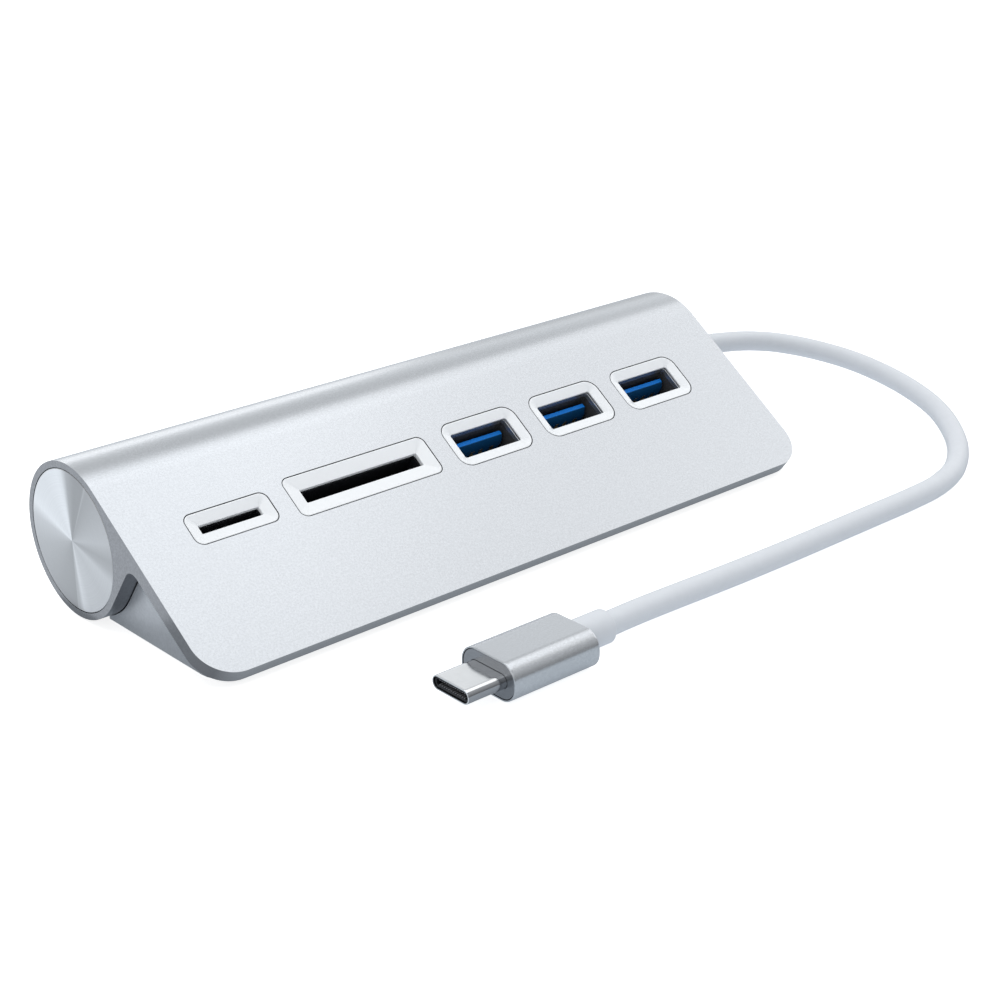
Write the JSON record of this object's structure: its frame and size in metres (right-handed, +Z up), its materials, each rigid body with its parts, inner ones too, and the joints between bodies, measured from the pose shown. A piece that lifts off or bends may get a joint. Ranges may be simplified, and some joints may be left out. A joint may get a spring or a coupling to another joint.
{
  "type": "usb hub",
  "caption": "Desktop USB hub: an aluminium tube with a sloping plate of USB-A, SD and microSD slots, a flat base on rubber feet and a short captive cable ending in a USB-C plug.",
  "frame": {"origin": "middle of the hub's own footprint, without its cable and plug, on the surface that its rubber feet stand on", "axes": "+X along the tube towards the end that the cable leaves, +Y away from the user, +Z up; the plate slopes down towards -Y"},
  "size_m": [0.1772, 0.0824, 0.0265],
  "materials": {
    "blasted_aluminium": "bead-blasted, clear anodised, matt",
    "turned_aluminium": "fine concentric turning marks",
    "white_gloss": "smooth gloss white",
    "cover_grey": "matt light grey",
    "black_rubber": "matt black",
    "polished_steel": "plated, smooth",
    "port_blue": "smooth blue",
    "black_plastic": "fine matt black",
    "contact_gold": "gold plated",
    "board_green": "green solder mask",
    "white_cable": "satin white",
    "ceramic": "matt tan"
  },
  "bodies": {
    "root": {"board_screw_1": "polished_steel", "board_screw_2": "polished_steel", "board_screw_3": "polished_steel", "board_screw_4": "polished_steel", "bottom_cover": "cover_grey", "bulk_capacitor_1": "ceramic", "bulk_capacitor_2": "ceramic", "cable": "white_cable", "cable_cores": "black_plastic", "cable_ferrule": "polished_steel", "cable_gland": "white_cable", "cable_header": "white_cable", "card_reader_controller": "black_plastic", "cover_screw_1": "polished_steel", "cover_screw_2": "polished_steel", "cover_screw_3": "polished_steel", "cover_screw_4": "polished_steel", "crystal": "polished_steel", "front_foot": "black_rubber", "housing": "blasted_aluminium", "hub_controller": "black_plastic", "left_end_cap": "turned_aluminium", "main_board": "board_green", "microsd_bezel": "white_gloss", "microsd_contacts": "contact_gold", "microsd_socket_body": "black_plastic", "microsd_socket_cover": "polished_steel", "plug_body": "blasted_aluminium", "plug_collar": "white_cable", "plug_contacts_lower": "contact_gold", "plug_contacts_upper": "contact_gold", "plug_face": "polished_steel", "plug_insert": "black_plastic", "plug_overmould": "white_cable", "plug_tip_shell": "polished_steel", "power_inductor": "black_plastic", "rear_foot": "black_rubber", "right_end_cap": "turned_aluminium", "sd_bezel": "white_gloss", "sd_contacts": "contact_gold", "sd_socket_body": "black_plastic", "sd_socket_cover": "polished_steel", "usb_bezel_1": "white_gloss", "usb_bezel_2": "white_gloss", "usb_bezel_3": "white_gloss", "usb_contacts_1": "contact_gold", "usb_contacts_2": "contact_gold", "usb_contacts_3": "contact_gold", "usb_shell_1": "polished_steel", "usb_shell_2": "polished_steel", "usb_shell_3": "polished_steel", "usb_tongue_1": "port_blue", "usb_tongue_2": "port_blue", "usb_tongue_3": "port_blue", "voltage_regulator": "black_plastic"}
  },
  "joints": []
}
